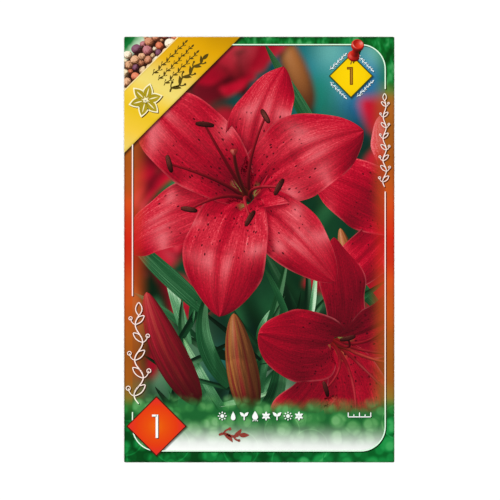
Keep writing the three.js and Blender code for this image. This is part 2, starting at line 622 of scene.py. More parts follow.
# Every ink lies under one thin gloss varnish, which gives the soft, slightly rippled shine of a coated card
varnish = {"Roughness": 0.6, "Specular IOR Level": 0.02, "Coat Weight": 0.45, "Coat Roughness": 0.12,
           "Coat IOR": 1.48}
orangePeel = {"size": 1.4, "depth": 0.01, "strength": 0.10}  # from crest to crest, in mm


def inkMaterial(name, colour):
    def paint(add, place):
        peel = add("TexNoise", place, Scale=1 / orangePeel["size"], Detail=2.0)
        bump = add("Bump", Height=peel, Strength=orangePeel["strength"], Distance=orangePeel["depth"] * mm)
        return {"Base Color": colour(add, place), "Coat Normal": bump}
    return newMaterial("offset_ink_" + name, varnish, paint)


# A blend of tones along one way across the card, whose lines waver in patches
def blended(add, place, along, form):
    wander = add("TexNoise", place, Scale=1 / form["patch"], Detail=form["detail"])
    total = add("Math", wander, form["waver"], along, operation="MULTIPLY_ADD")
    return add("ValToRGB", add("MapRange", total, *form["span"]), stops=form["tones"])


# The border's blend from the card's foot, at 0, to its top edge, at 1. Noise lies round 0.5, so the span is
# moved by half of what the lines waver.
borderBlend = {"patch": 20, "detail": 1.0, "waver": 8.0, "span": (4 - halfHeight, 4 + halfHeight), "tones": [
    (0.0, "#04501F"), (0.07, "#0B6A2C"), (0.112, "#256E2B"), (0.132, "#3C7830"), (0.155, "#8A6E26"),
    (0.195, "#9E5616"), (0.24, "#9C5414"), (0.2875, "#A65514"), (0.335, "#B85214"), (0.38, "#C55116"),
    (0.43, "#CC4A16"), (0.475, "#CB3012"), (0.525, "#CA2410"), (0.57, "#CD3A14"), (0.617, "#CC4C18"),
    (0.66, "#B45316"), (0.71, "#A85414"), (0.78, "#A05918"), (0.83, "#A25A1C"), (0.853, "#986421"),
    (0.872, "#687C34"), (0.897, "#0E7226"), (1.0, "#066022"),
]}


def borderTone(add, place):
    return blended(add, place, add("SeparateXYZ", place).outputs["Y"], borderBlend)


# Round drops out of focus, close packed, with a few large thin rings
dropForm = {
    # spacing in mm, disc reach in cells, softness, strength, shift
    "layers": [(8.4, 0.58, 0.30, 0.52, 3.0), (5.2, 0.54, 0.28, 0.30, 40.0)],
    "faintest": 0.35, "scatter": 0.8,
    "ringSpacing": 24, "ringRadius": 0.34, "ringLine": 0.012, "ringStrength": 0.22, "ringScatter": 0.9,
}


# Gives how light the drops are, from 0 to 1
def dropField(add, place):
    total = 0.0
    for spacing, reach, softness, strength, shift in dropForm["layers"]:
        moved = add("Mapping", place, Location=(shift, shift / 2, 0.5))
        cells = add("TexVoronoi", moved, Scale=1 / spacing, Randomness=dropForm["scatter"])
        luck = add("SeparateColor", cells.outputs["Color"])
        luck = add("MapRange", luck, 0.0, 1.0, dropForm["faintest"] * strength, strength)
        disc = add("MapRange", cells, reach, reach - softness, interpolation_type="SMOOTHSTEP")
        total = add("Math", disc, luck, total, operation="MULTIPLY_ADD")
    cells = add("TexVoronoi", place, Scale=1 / dropForm["ringSpacing"], Randomness=dropForm["ringScatter"])
    ring = add("Math", cells, dropForm["ringRadius"], dropForm["ringLine"], operation="COMPARE")
    return add("Math", ring, dropForm["ringStrength"], total, operation="MULTIPLY_ADD", use_clamp=True)


# How the picture ends: it glows into the border at its sides, and sinks through green drops into white
melt = {
    "sideStart": 50.0, "sideEnd": 61.5, "sideShare": 0.70,
    "greenStart": -69.5, "greenEnd": -77.5, "whiteStart": -79.6, "whiteEnd": -96.4,
    "lean": 0.02, "ragged": -3.5, "whiteRagged": 2.5,  # the drops push the edges down or up
    "badgeStart": -52.0, "badgeEnd": -44.0,  # left of the badge the green runs on to the keyline
    "green": [(0.0, "#1A602C"), (0.35, "#317C3C"), (0.7, "#5A9E5A"), (1.0, "#88BC84")],
    "white": [(0.0, "#B2CDAE"), (0.45, "#DFEADC"), (0.8, "#F8FAF6")],
    "plantFoot": -82.5,  # the sharp plants end here, under the drops
}


def meltedInto(add, place, colour):
    x, y, _ = add("SeparateXYZ", place).outputs
    side = add("MapRange", add("Math", x, operation="ABSOLUTE"), melt["sideStart"], melt["sideEnd"], 0.0,
               melt["sideShare"], interpolation_type="SMOOTHERSTEP")
    colour = add("Mix", side, colour, borderTone(add, place))
    drops = dropField(add, place)
    y = add("Math", x, melt["lean"], y, operation="MULTIPLY_ADD")
    y = add("Math", drops, melt["ragged"], y, operation="MULTIPLY_ADD")
    share = add("MapRange", y, melt["greenStart"], melt["greenEnd"], interpolation_type="SMOOTHSTEP")
    colour = add("Mix", share, colour, add("ValToRGB", drops, stops=melt["green"]))
    y = add("Math", drops, melt["whiteRagged"], y, operation="MULTIPLY_ADD")
    share = add("MapRange", y, melt["whiteStart"], melt["whiteEnd"], interpolation_type="SMOOTHSTEP")
    fromBadge = add("MapRange", x, melt["badgeStart"], melt["badgeEnd"])
    share = add("Math", share, fromBadge, operation="MULTIPLY")
    return add("Mix", share, colour, add("ValToRGB", share, stops=melt["white"]))


# The corner band and the badges throw a soft printed shadow on what lies round them
markShadow = {"bandReach": 2.8, "bandFull": 0.4, "bandShare": 0.85, "badgeReach": 1.3, "badgeShare": 0.7,
              "shift": (0.4, -0.5), "colour": "#140E06"}


def shadedByMarks(add, place, colour):
    parts = add("SeparateXYZ", place).outputs
    below = add("Math", parts["Y"], parts["X"], operation="SUBTRACT")
    dark = add("MapRange", below, layout["bandFoot"] - markShadow["bandReach"],
               layout["bandFoot"] - markShadow["bandFull"], 0.0, markShadow["bandShare"],
               interpolation_type="SMOOTHSTEP")
    for key in ("top", "foot"):
        far = 0.0
        for axis, middle, shift in zip("XY", layout[key + "Badge"], markShadow["shift"]):
            away = add("Math", parts[axis], middle + shift, operation="SUBTRACT")
            far = add("Math", add("Math", away, operation="ABSOLUTE"), far)
        reach = layout[key + "Reach"]
        near = add("MapRange", far, reach + markShadow["badgeReach"], reach, 0.0, markShadow["badgeShare"],
                   interpolation_type="SMOOTHSTEP")
        dark = add("Math", dark, near, operation="MAXIMUM")
    return add("Mix", dark, colour, markShadow["colour"])


# Soft patches as a share between two limits
def patchy(add, place, scale, detail, *limits):
    return add("MapRange", add("TexNoise", place, Scale=scale, Detail=detail), *limits)


screenGrain = {"size": 0.5, "plants": 0.12, "scenery": 0.07}


# What is printed from the picture has a screen grain, as coarse as it has to be to show
def pictureInk(name, strength, colour):
    def paint(add, place):
        grain = patchy(add, place, 1 / screenGrain["size"], 1.0, 0.3, 0.7, 1 - strength, 1 + strength)
        grained = add("Mix", 1.0, colour(add, place), grain, blend_type="MULTIPLY")
        return shadedByMarks(add, place, meltedInto(add, place, grained))
    return inkMaterial(name, paint)


# Each layer of veins runs base to tip, and darkens or lightens what light there is
def veined(add, along, across, light, scales):
    lines = add("CombineXYZ", along, across)
    for lengthwise, crosswise, strength in scales:
        veins = add("Mapping", lines, Scale=(lengthwise, crosswise, 1.0))
        veins = patchy(add, veins, 1.0, 2.0, 0.3, 0.7, 1 - strength, 1 + strength)
        light = add("Math", light, veins, operation="MULTIPLY")
    return light


# What was stored on a plant's points: the place along and across it, its half width, its light and its sheen
def storedValues(add):
    place = add("SeparateXYZ", add("Attribute", attribute_name="place").outputs["Vector"]).outputs
    return [*place] + [add("Attribute", attribute_name=name).outputs["Fac"] for name in ("light", "sheen")]


# Petal ink reads how the real tepal was lit, then adds its veins, freckles, pale throat and thin bright rim.
# The main veins are about 2 mm apart where the tepal is widest, the fine ones 0.6 mm, the papillae 1 mm.
tepalInk = {
    "veins": [(2.2, 9.0, 0.13), (5.0, 30.0, 0.18), (9.0, 70.0, 0.12), (60.0, 24.0, 0.20)],
    "sheenVeins": [(9.0, 70.0, 0.25)], "gleam": "#EC7C82",
    "furrow": "#87924A", "furrowHalf": (0.30, 0.05), "furrowEnd": (0.16, 0.06), "furrowShare": 0.65,
    "freckle": "#3A040E", "spacing": 2.3, "size": 0.24, "stretch": 66.0 / 1.6, "share": 0.9, "edge": 0.08,
    "freckleEnd": (0.66, 0.36), "freckleSide": (0.88, 0.76),  # none at the tip or near the rim
    "rim": "#E26A70", "rimStart": 0.945, "rimPatch": 9, "rimShares": (0.02, 0.42),
}


def tepalColour(add, place):
    along, across, wide, light, sheen = storedValues(add)
    light = veined(add, along, across, light, tepalInk["veins"])
    colour = add("ValToRGB", light, stops=tones["tepal"])
    # the waxy skin's sheen is a paler, cooler pink, broken up by the fine veins
    sheen = veined(add, along, across, sheen, tepalInk["sheenVeins"])
    colour = add("Mix", sheen, colour, tepalInk["gleam"])
    # pale green nectar furrow at the foot of the rib
    near = add("Math", across, operation="ABSOLUTE")
    rib = add("MapRange", near, *tepalInk["furrowHalf"])
    base = add("MapRange", along, *tepalInk["furrowEnd"], 0.0, tepalInk["furrowShare"])
    colour = add("Mix", add("Math", rib, base, operation="MULTIPLY"), colour, tepalInk["furrow"])
    # raised maroon freckles on the inner half
    span = add("Math", across, wide, operation="MULTIPLY")
    length = add("Math", along, tepalInk["stretch"], operation="MULTIPLY")
    dots = add("TexVoronoi", add("CombineXYZ", length, span), Scale=1 / tepalInk["spacing"])
    luck = add("SeparateColor", dots.outputs["Color"]).outputs
    size = add("Math", luck[0], tepalInk["size"], operation="MULTIPLY")
    dot = add("MapRange", add("Math", size, dots, operation="SUBTRACT"), 0.0, tepalInk["edge"],
              0.0, tepalInk["share"])
    zone = add("Math", add("MapRange", along, *tepalInk["freckleEnd"]), luck[1], operation="GREATER_THAN")
    for limit in (zone, add("MapRange", near, *tepalInk["freckleSide"])):
        dot = add("Math", dot, limit, operation="MULTIPLY")
    colour = add("Mix", dot, colour, tepalInk["freckle"])
    # the rim is thin, so light comes through it here and there
    patch = patchy(add, place, 1 / tepalInk["rimPatch"], 1.0, 0.4, 0.65, *tepalInk["rimShares"])
    rim = add("Math", add("MapRange", near, tepalInk["rimStart"], 1.0), patch, operation="MULTIPLY")
    return add("Mix", rim, colour, tepalInk["rim"])


# Buds, leaves, stems and the lily's heart: tones by light, streaked lengthwise, tinted towards one end
plantKinds = {
    "filament": {"ink": "rose_filament", "streaks": [(2, 3, 0.08)], "sheen": 0.35, "gleam": "#F2A89C",
                 "tint": "#A8B468", "tinted": (0.20, 0.0)},
    "anther": {"ink": "maroon_pollen", "streaks": [(40, 40, 0.5)], "sheen": 0.12, "gleam": "#D08C78",
               "tint": "#5A2A1C", "tinted": (0.5, 1.0)},
    "style": {"ink": "coral_style", "streaks": [(2, 4, 0.08)], "sheen": 0.5, "gleam": "#FBD8C0",
              "tint": "#8FB04A", "tinted": (0.35, 0.1)},
    "ripe": {"ink": "crimson_bud", "streaks": [(1.6, 12, 0.22), (4, 44, 0.22)], "sheen": 0.5,
             "gleam": "#EE948C", "tint": "#7A9A4C", "tinted": (0.12, 0.0), "stripe": "bud", "striped": 0.16},
    "bud": {"ink": "bronze_bud", "streaks": [(1.6, 12, 0.22), (4, 44, 0.22)], "sheen": 0.5,
            "gleam": "#F6D8AC", "tint": "#6F9A3C", "tinted": (0.34, 0.0), "stripe": "ripe", "striped": 0.75},
    "stem": {"ink": "green_stem", "streaks": [(2, 8, 0.12)], "sheen": 0.35, "gleam": "#C4E0A8",
             "tint": "#3C6A2C", "tinted": (0.5, 1.0)},
    "leaf": {"ink": "green_leaf", "streaks": [(1.2, 9, 0.18), (2, 30, 0.20)], "sheen": 0.30,
             "gleam": "#A8DCA8", "tint": "#2F5A2A", "tinted": (0.6, 1.0)},
}


tintShare, stripeScale = 0.8, (0.9, 8.0, 1.0)  # the stripes are about 3 mm apart


def plantColour(finish, add, place):
    kind = plantKinds[finish]
    along, across, _, light, sheen = storedValues(add)
    light = veined(add, along, across, light, kind["streaks"])
    colour = add("ValToRGB", light, stops=tones[finish])
    if "stripe" in kind:
        # lengthwise stripes in the other bud's tones
        lines = add("Mapping", add("CombineXYZ", along, across), Scale=stripeScale)
        share = patchy(add, lines, 1.0, 2.0, 0.46, 0.60, 0.0, kind["striped"])
        colour = add("Mix", share, colour, add("ValToRGB", light, stops=tones[kind["stripe"]]))
    share = add("MapRange", along, *kind["tinted"], 0.0, tintShare)
    colour = add("Mix", share, colour, kind["tint"], blend_type="OVERLAY")
    sheen = add("Math", sheen, kind["sheen"], operation="MULTIPLY")
    return add("Mix", sheen, colour, kind["gleam"])


plantInks = {finish: pictureInk(kind["ink"], screenGrain["plants"], partial(plantColour, finish))
             for finish, kind in plantKinds.items()}
plantInks["tepal"] = pictureInk("crimson_tepal", screenGrain["plants"], tepalColour)
print("card: helpers and inks ready")


def toneOf(finish, light):
    places, colours = zip(*tones[finish])
    table = np.array([linear(colour) for colour in colours])
    return np.column_stack([np.interp(light, places, channel) for channel in table.T])


# The out-of-focus garden, seen through a wide lens: each point of the sheet gathers rays from all over it
scenery = {
    "spacing": 1.1, "rays": 30, "roughRays": 12, "aperture": 0.055, "focus": -52, "farPlane": -160,
    "leafLuck": (0.3, 1.9), "flowerLuck": (0.75, 1.15), "sheen": 0.5, "far": "#062E1C",
    "patches": [  # x, y, reach, colour and strength of what glows far behind
        (40, 84, 22, "#3C94A0", 0.9), (20, 88, 14, "#0A7A9C", 0.9), (52, 82, 8, "#0E62B4", 0.8),
        (33, 93, 8, "#74BCAE", 0.8), (29, 77, 7, "#1C8462", 0.8), (46, 68, 8, "#0A569E", 0.8),
        (40, 76, 5, "#6AB0C8", 0.6), (57, 93, 7, "#86D0B8", 0.8), (22, 94, 6, "#0A5E48", 0.8),
        (26, 68, 11, "#087058", 0.8), (6, 80, 10, "#04241A", 0.9), (-6, 66, 12, "#1E8A90", 0.7),
        (-58, 70, 22, "#0A6A38", 0.9), (-24, 72, 14, "#032414", 0.9), (50, 44, 16, "#031E14", 0.9),
        (58, 28, 10, "#4C9A9A", 0.7), (-52, 10, 20, "#0C5A34", 0.8), (40, -30, 22, "#0E5A36", 0.7),
        (-44, -48, 16, "#84C090", 0.8), (0, -40, 26, "#021A12", 0.9), (14, -70, 14, "#B4DDB6", 0.8),
        (-14, -58, 9, "#2E8E86", 0.7), (52, -66, 18, "#15773C", 0.8),
    ],
}


def farColour(points):
    colour = np.tile(linear(scenery["far"]), (len(points), 1))
    for x, y, reach, patch, strength in scenery["patches"]:
        distance = np.hypot(points[:, 0] - x, points[:, 1] - y)
        share = (strength * np.exp(-(distance / reach) ** 2))[:, None]
        colour = colour * (1 - share) + np.array(linear(patch)) * share
    return colour


def softGarden():
    pieces = [piece for lily in softLilies for piece in lilyPieces(lily, 0.34)]
    pieces += [piece for bud in softBuds for piece in budPieces(bud, 0.4)]
    bendX, bendY, bendRise = softLeaves["bend"]
    for number in range(softLeaves["count"]):
        x, y, z, length = drawn(softLeaves, "x", "y", "depth", "length")
        wide, heading = drawn(softLeaves, "halfWidth", "heading")
        dx, dy = length * math.cos(heading * math.pi), length * math.sin(heading * math.pi)
        tip = np.array((x + dx, y + dy, z + softLeaves["tipRise"]))
        middle = np.array((x + dx * bendX, y + length * bendY, z + bendRise))
        leaf = {"path": [(x, y, z), middle, tip], "halfWidth": wide,
                "facing": unit(draws.normal(0, softLeaves["facingLuck"], 3) + (0, 0, 1))}
        pieces.append(shapedGrid(f"soft_leaf_{number}", gridSteps["softLeaf"], leafShape(leaf), "leaf"))
    return pieces


def faceColours(pieces, tree):
    colours = []
    for piece in pieces:
        finish, everywhere = piece["finish"], np.ones(len(piece.data.vertices), bool)
        light, sheen = lightOn(piece, tree, everywhere, daylight["roughLamps"])
        gleam = plantKinds.get(finish, tepalInk)["gleam"]
        sheen = scenery["sheen"] * sheen[:, None]
        points = toneOf(finish, light) * (1 - sheen) + np.array(linear(gleam)) * sheen
        luck = draws.uniform(*scenery["leafLuck" if finish == "leaf" else "flowerLuck"])
        corners = np.array([list(face.vertices) for face in piece.data.polygons])
        colours.append((points * luck * piece.get("lift", 1))[corners].mean(axis=1))
    return np.vstack(colours)


def paintScenery(sheet):
    pieces = softGarden()
    tree = rayTree(pieces)
    colours = faceColours(pieces, tree)
    print("card: soft garden lit,", len(colours), "faces")
    points = readVectors(sheet) / mm
    rays = scenery["rays"]
    ring = np.sqrt((np.arange(rays) + 0.5) / rays) * scenery["aperture"]
    turn = np.arange(rays) * goldenAngle
    lens = unit(np.column_stack([ring[:, None] * directions(turn), -np.ones(rays)]))
    total = np.zeros((len(points), 3))
    starts = [Vector((x * mm, y * mm, scenery["focus"] * mm)) for x, y, _ in points]
    for ray in lens:
        hits = [tree.ray_cast(start, Vector(ray))[2] for start in starts]
        missed = np.array([hit is None for hit in hits])
        far = points[:, :2] - ray[:2] / ray[2] * (scenery["focus"] - scenery["farPlane"])
        total += np.where(missed[:, None], farColour(far), colours[[hit or 0 for hit in hits]])
    total = [smoothed(sheet, channel / rays, 1) for channel in total.T]
    storeOnPoints(sheet, "scenery", np.column_stack([*total, np.ones(len(points))]), "FLOAT_COLOR")
    for piece in pieces:
        bpy.data.objects.remove(piece)


def flatShape(along, across):
    x, y = (left + right) / 2 + (along - 0.5) * (right - left), (foot + top) / 2 + across * (top - foot) / 2
    return np.column_stack([x, y, np.full_like(x, faceHeight + ink["scenery"])]), np.ones_like(x)


steps = [int(size / scenery["spacing"]) for size in (right - left, top - foot)]
sheet = shapedGrid("print_soft_garden", steps, flatShape, "scenery")
paintScenery(sheet)
cutAway(sheet, *windowCuts)
onCard(sheet, pictureInk("soft_garden", screenGrain["scenery"],
                         lambda add, place: add("Attribute", attribute_name="scenery")))
print("card: soft garden printed")


# Small leaves crowd the stems at the foot, at every heading
def smallLeaves():
    leaves = []
    for number in range(sprays["count"]):
        start = np.array(drawn(sprays, "x", "y", "depth"))
        length, heading = drawn(sprays, "length", "heading")
        way = np.array((math.cos(heading * math.pi), math.sin(heading * math.pi), 0.0))
        bend = start + way * length * 0.5 + (0, 0, sprays["arch"]) + draws.normal(0, sprays["bendLuck"], 3)
        leaf = {"path": [start, bend, start + way * length + (0, 0, draws.uniform(*sprays["tipRise"]))],
                "halfWidth": draws.uniform(*sprays["halfWidth"]),
                "facing": unit(draws.normal(0, sprays["facingLuck"], 3) + (0, 0, 1))}
        leaves.append(shapedGrid(f"small_leaf_{number}", gridSteps["smallLeaf"], leafShape(leaf), "leaf"))
        leaves[-1]["lift"] = draws.uniform(*sprays["lift"])
    return leaves


def sharpGarden():
    lilies = {f"print_{lily['name']}_lily": lilyPieces(lily, 1.0) for lily in sharpLilies}
    pieces = [piece for lily in lilies.values() for piece in lily]
    pieces += [piece for bud in sharpBuds for piece in budPieces(bud, 1.0)]
    for number, (wide, path) in enumerate(sharpLeaves):
        leaf = leafShape({"path": path, "halfWidth": wide})
        pieces.append(shapedGrid(f"leaf_{number}", gridSteps["leaf"], leaf, "leaf"))
    pieces += smallLeaves()
    print("card: sharp garden modelled,", sum(len(p.data.polygons) for p in pieces), "faces")
    deep = exposeAll(pieces)
    groups = {name: [p for p in lily if p["finish"] == "tepal"] for name, lily in lilies.items()}
    for name, finishes in (("stamens", ("filament", "anther")), ("styles", ("style",)),
                           ("buds", ("bud", "ripe")), ("stems", ("stem",)), ("leaves", ("leaf",))):
        groups["print_" + name] = [p for p in pieces if p["finish"] in finishes]
    for name, members in groups.items():
        for piece in members:
            piece.data.materials.append(plantInks[piece["finish"]])
        piece = joined(name, members)
        pressFlat(piece, ink["garden"], ink["gardenDepth"], deep)
        cutAway(piece, *windowCuts, ((0, layout["bandFoot"]), toCorner), ((0, melt["plantFoot"]), (0, -1)))
        onCard(piece)


sharpGarden()
print("card: sharp garden printed")


# Rounded sheets start as a plane whose corners are bevelled
def roundedSheet(name, box, radius, height):
    sheet = added(name, bpy.ops.mesh.primitive_plane_add, size=1)
    for vertex in sheet.data.vertices:
        x, y = box[vertex.co.x > 0], box[2 + (vertex.co.y > 0)]
        vertex.co = Vector((x, y, faceHeight + height)) * mm
    with editMode(sheet):
        bpy.ops.mesh.bevel(offset=radius * mm, segments=layout["cornerSteps"], affect="VERTICES")
    return sheet


# The border runs from leaf green at the ends to orange red at the middle, with drops and blurred leaves
borderForm = {
    "underlap": 0.2,  # how far it runs on under the picture
    "dropZone": (-70.0, -80.0), "dropShare": 0.9, "brighterRight": 0.0030,
    "drops": [(0.0, "#014012"), (0.26, "#056426"), (0.55, "#148A3E"), (1.0, "#44AE60")],
    "leafZone": (72.0, 82.0), "leafShare": 0.85, "leafTurn": 0.7, "leafSize": (4, 8),
    "leafLight": (20.0, 60.0, -0.02, 0.012),  # from x to x, from shade to light
    "leaves": [(0.37, "#013C0E"), (0.48, "#05621F"), (0.57, "#148238"), (0.68, "#4CA862")],
    "cloudSize": 12, "cloud": (0.90, 1.08), "edge": (0.1, 1.1), "edgeShade": (0.62, 1.0),
}


def borderColour(add, place):
    x, y, _ = add("SeparateXYZ", place).outputs
    drops = add("Math", x, borderForm["brighterRight"], dropField(add, place), operation="MULTIPLY_ADD")
    drops = add("ValToRGB", drops, stops=borderForm["drops"])
    low = add("MapRange", y, *borderForm["dropZone"], 0.0, borderForm["dropShare"])
    colour = add("Mix", low, borderTone(add, place), drops)
    # blurred foliage at the top, in slanting patches
    width, length = borderForm["leafSize"]
    slant = add("Mapping", place, Rotation=(0, 0, borderForm["leafTurn"]), Scale=(1 / width, 1 / length, 1))
    patch = add("TexNoise", slant, Scale=1.0, Detail=2.0)
    patch = add("Math", patch, add("MapRange", x, *borderForm["leafLight"]))
    high = add("MapRange", y, *borderForm["leafZone"], 0.0, borderForm["leafShare"])
    colour = add("Mix", high, colour, add("ValToRGB", patch, stops=borderForm["leaves"]))
    # slightly cloudy all the way round, and a shade darker in the last millimetre before the card's edge
    shade = patchy(add, place, 1 / borderForm["cloudSize"], 2.0, 0.3, 0.7, *borderForm["cloud"])
    gap = borderForm["edge"][1]
    for here, half in ((x, halfWidth), (y, halfHeight)):
        here = add("Math", half, add("Math", here, operation="ABSOLUTE"), operation="SUBTRACT")
        gap = add("Math", here, gap, operation="MINIMUM")
    edge = add("MapRange", gap, *borderForm["edge"], *borderForm["edgeShade"])
    shade = add("Math", shade, edge, operation="MULTIPLY")
    colour = add("Mix", 1.0, colour, shade, blend_type="MULTIPLY")
    return shadedByMarks(add, place, colour)


# The border is a ring: two rounded outlines with as many points, bridged
def printBorder():
    under = borderForm["underlap"]
    hole = (left + under, right - under, foot + under, top - under)
    border = roundedSheet("print_border", cardBox, layout["cardRadius"], ink["border"])
    inner = roundedSheet("print_border_inner", hole, layout["windowRadius"] - under, ink["border"])
    pickOnly(border, inner)
    bpy.ops.object.join()
    with editMode(border):
        bpy.ops.mesh.delete(type="ONLY_FACE")
        bpy.ops.mesh.select_all(action="SELECT")
        bpy.ops.mesh.bridge_edge_loops()
    turnUp(border)
    onCard(border, inkMaterial("border_blend", borderColour))


printBorder()

# Plain inks, with the slight cloudiness of a large printed area: two tones and the size of their patches
plainInks = {
    "white_knockout": ("#FAFBF8", "#EEF6EE", 9.0), "cream_line": ("#F6E2AC", "#F0D490", 6.0),
    "olive_outline": ("#2E3C08", "#3C4A10", 6.0), "maroon_outline": ("#3E1006", "#4E1608", 6.0),
    "brown_figure": ("#6A3A08", "#74450C", 5.0), "ochre_figure": ("#A8741C", "#B48024", 5.0),
    "umber_sprig": ("#4A3C10", "#5C4A16", 5.0), "rust_sprig": ("#86352A", "#96443A", 5.0),
    "olive_gold": ("#A08C14", "#B09A1E", 5.0), "cream_outline": ("#FBF4CE", "#F4E8B4", 5.0),
    "pale_sky": ("#D2E2E6", "#E4EEF0", 5.0),
}


def plainColour(name, add, place):
    tone, second, patch = plainInks[name]
    cloud = add("TexNoise", place, Scale=1 / patch, Detail=2.0)
    return add("ValToRGB", cloud, stops=[(0.3, tone), (0.7, second)])


shadeTint = (0.16, 0.14, 0.12, 1)


# A printed shade is the border's own colour, much darker
def shadeColour(add, place):
    return add("Mix", 1.0, borderTone(add, place), shadeTint, blend_type="MULTIPLY")


# The thin keyline takes up a little of the border's colour, as fine white lines do in print
def keylineColour(add, place):
    return add("Mix", 0.26, "#FCFCFA", borderTone(add, place), blend_type="COLOR")


inks = {name: inkMaterial(name, partial(plainColour, name)) for name in plainInks}
inks["dark_shade"] = inkMaterial("dark_shade", shadeColour)
inks["white_keyline"] = inkMaterial("white_keyline", keylineColour)


penStep = 0.6  # how long each piece of a stroke is


# A pen stroke is a flat ribbon along a track of points. Its ends are round, or its sides swell like a leaf
def penStroke(name, track, width, level, ends):
    track = np.array(track, float)
    walked = np.concatenate([[0], np.cumsum(np.hypot(*np.diff(track, axis=0).T))])
    length = walked[-1]

    def at(distance):
        return np.column_stack([np.interp(distance, walked, axis) for axis in track.T])

    def shape(along, across):
        along = (1 - np.cos(np.pi * along)) / 2 if ends != "line" else along
        way = unit(at(along * length + 0.1) - at(along * length - 0.1))
        side = np.column_stack([-way[:, 1], way[:, 0]])
        near = np.minimum(along, 1 - along) * length / (width / 2)
        reach = {"round": np.sqrt(np.maximum(1 - np.maximum(1 - near, 0) ** 2, 0)),
                 "leaf": np.sin(np.pi * np.clip(along, 0, 1) ** 0.85) ** 0.9,
                 "drop": np.clip(along, 0, 1) ** 1.2 * np.sqrt(np.maximum(1 - along, 0)) * 2.1,
                 "line": np.ones_like(along)}[ends]
        flat = at(along * length) + (across * (reach + 0.001) * width / 2)[:, None] * side
        return np.column_stack([flat, np.full(len(flat), faceHeight + level)]), reach
    return shapedGrid(name, (max(12, length / penStep), 1), shape, "mark")


# Prints strokes in one ink, and the same strokes again as a shade below them and to their right
def printStrokes(name, strokes, filling, level, shade=(0.45, -0.45)):
    layers = [(name, filling, (0, 0), level)]
    if shade:
        layers.append((name + "_shade", "dark_shade", shade, level - ink["shadeDrop"]))
    printed = []
    for layer, filling, move, height in layers:
        pieces = [penStroke(f"{layer}_{number}", np.array(track) + move, width,
                            height + number * ink["strokeStep"], ends)
                  for number, (track, width, ends) in enumerate(strokes)]
        piece = joined(layer, pieces)
        turnUp(piece)
        printed.append(onCard(piece, inks[filling]))
    return printed


def windowArc(start, xSide, ySide):
    out = directions(np.radians(np.linspace(start, start - 90, 16)))
    return [*windowCorner(xSide, ySide) + layout["windowRadius"] * out]


leftGap, rightGap = layout["leftGap"], layout["rightGap"]
keylineTracks = [
    [(left, leftGap[1]), *windowArc(180, -1, 1), *windowArc(90, 1, 1), (right, rightGap[1])],
    [(right, rightGap[0]), *windowArc(0, 1, -1), *windowArc(-90, -1, -1), (left, leftGap[0])],
]
keylineStrokes = [(track, layout["keyline"], "line") for track in keylineTracks]
for piece in printStrokes("print_keyline", keylineStrokes, "white_keyline", ink["keyline"]):
    cutAway(piece, ((0, layout["bandFoot"]), toCorner))
print("card: border and keyline printed")

# Plain ornament drawn with the pen. A sprig's leaves and berries start at its stem, and go forward along it
# and out from it.
sprigForm = {
    "points": [(0.60, 0.30), (0.80, 0.80), (0.10, -0.34), (0.55, -0.42)],  # a leaf's bend and tip, a berry's
    "leafWidth": 0.42, "berrySize": 0.30, "berryPen": 0.7, "headLeaf": 0.95, "shrink": 0.25,
    "hollowBulge": 1.1, "hollowPen": 0.85,
}


def curve(points):
    return bezier([(x, y, 0) for x, y in points], np.linspace(0, 1, 16))[:, :2]


def ring(x, y, radius, pen):
    return (x, y) + radius * directions(np.linspace(0, 2 * np.pi, 25)), pen, "line"


# A dot is a ring as thick as it is wide, so that no hole is left
def dot(x, y, size):
    return ring(x, y, size / 4, size / 2)


# A leaf is filled, or drawn as two thin arcs round it where a pen width is given
def leafStrokes(points, width, pen):
    if not pen:
        return [(curve(points), width, "leaf")]
    start, tip = np.array(points[0]), np.array(points[-1])
    way = unit(tip - start)
    out = width * sprigForm["hollowBulge"] * np.array((-way[1], way[0]))
    middle, pen = np.mean(points, axis=0), pen * sprigForm["hollowPen"]
    return [(curve([start, middle + sign * out, tip]), pen, "round") for sign in (-1, 1)]


def sprig(foot, head, sway, waves, leaf, pen, hollow=False):
    foot, head = np.array(foot, float), np.array(head, float)
    way = unit(head - foot)
    side = np.array((-way[1], way[0]))
    share = np.linspace(0, 1, 90)
    swing = sway * np.sin(2 * np.pi * waves * share) * (1 - 0.3 * share)
    stem = foot + share[:, None] * (head - foot) + swing[:, None] * side
    strokes = [(stem, pen, "round")]
    wide, finePen, turns = sprigForm["leafWidth"], pen * sprigForm["berryPen"], int(waves * 2)
    for number in range(turns):
        start = stem[int((number + 0.5) / turns * 89)]
        out = side if number % 2 else -side
        size = leaf * (1 - sprigForm["shrink"] * number / turns)
        bend, tip, berryBend, berry = [start + size * (forward * way + aside * out)
                                       for forward, aside in sprigForm["points"]]
        strokes += leafStrokes([start, bend, tip], size * wide, pen * hollow)
        strokes.append((curve([start, berryBend, berry]), finePen, "round"))
        reach = size * sprigForm["berrySize"]
        strokes.append(ring(*berry, reach / 2, finePen) if hollow else dot(*berry, reach))
    return strokes + leafStrokes([stem[-1], stem[-1] + way * leaf * sprigForm["headLeaf"]], leaf * wide,
                                 pen * hollow)


# Strokes that stand out like spokes round a middle, from one distance to another
def spokes(middle, count, turn, near, far, width, ends):
    return [([middle + way * near, middle + way * far], width, ends)
            for way in directions(turn + np.arange(count) * 2 * math.pi / count)]


# The corner band in gold, paler at its middle, as if light slid over a satin ribbon
bandForm = {
    "patch": 18, "detail": 1.0, "waver": 14.0, "slant": 0.35, "span": (28.0, 142.0),
    "tones": [(0.0, "#E8CC66"), (0.13, "#F0C63C"), (0.25, "#E6BE20"), (0.34, "#EEC83C"), (0.44, "#ECD670"),
              (0.51, "#E9D068"), (0.62, "#E4B01A"), (0.78, "#DAA002"), (0.90, "#C48E00"), (1.0, "#BA8600")],
    "fringe": "#9A7A10", "fringeWidth": 1.6, "fringeShare": 0.35,
    "lineWidth": 0.5, "lineInset": 0.25,  # the cream line along the band's upper edge
}


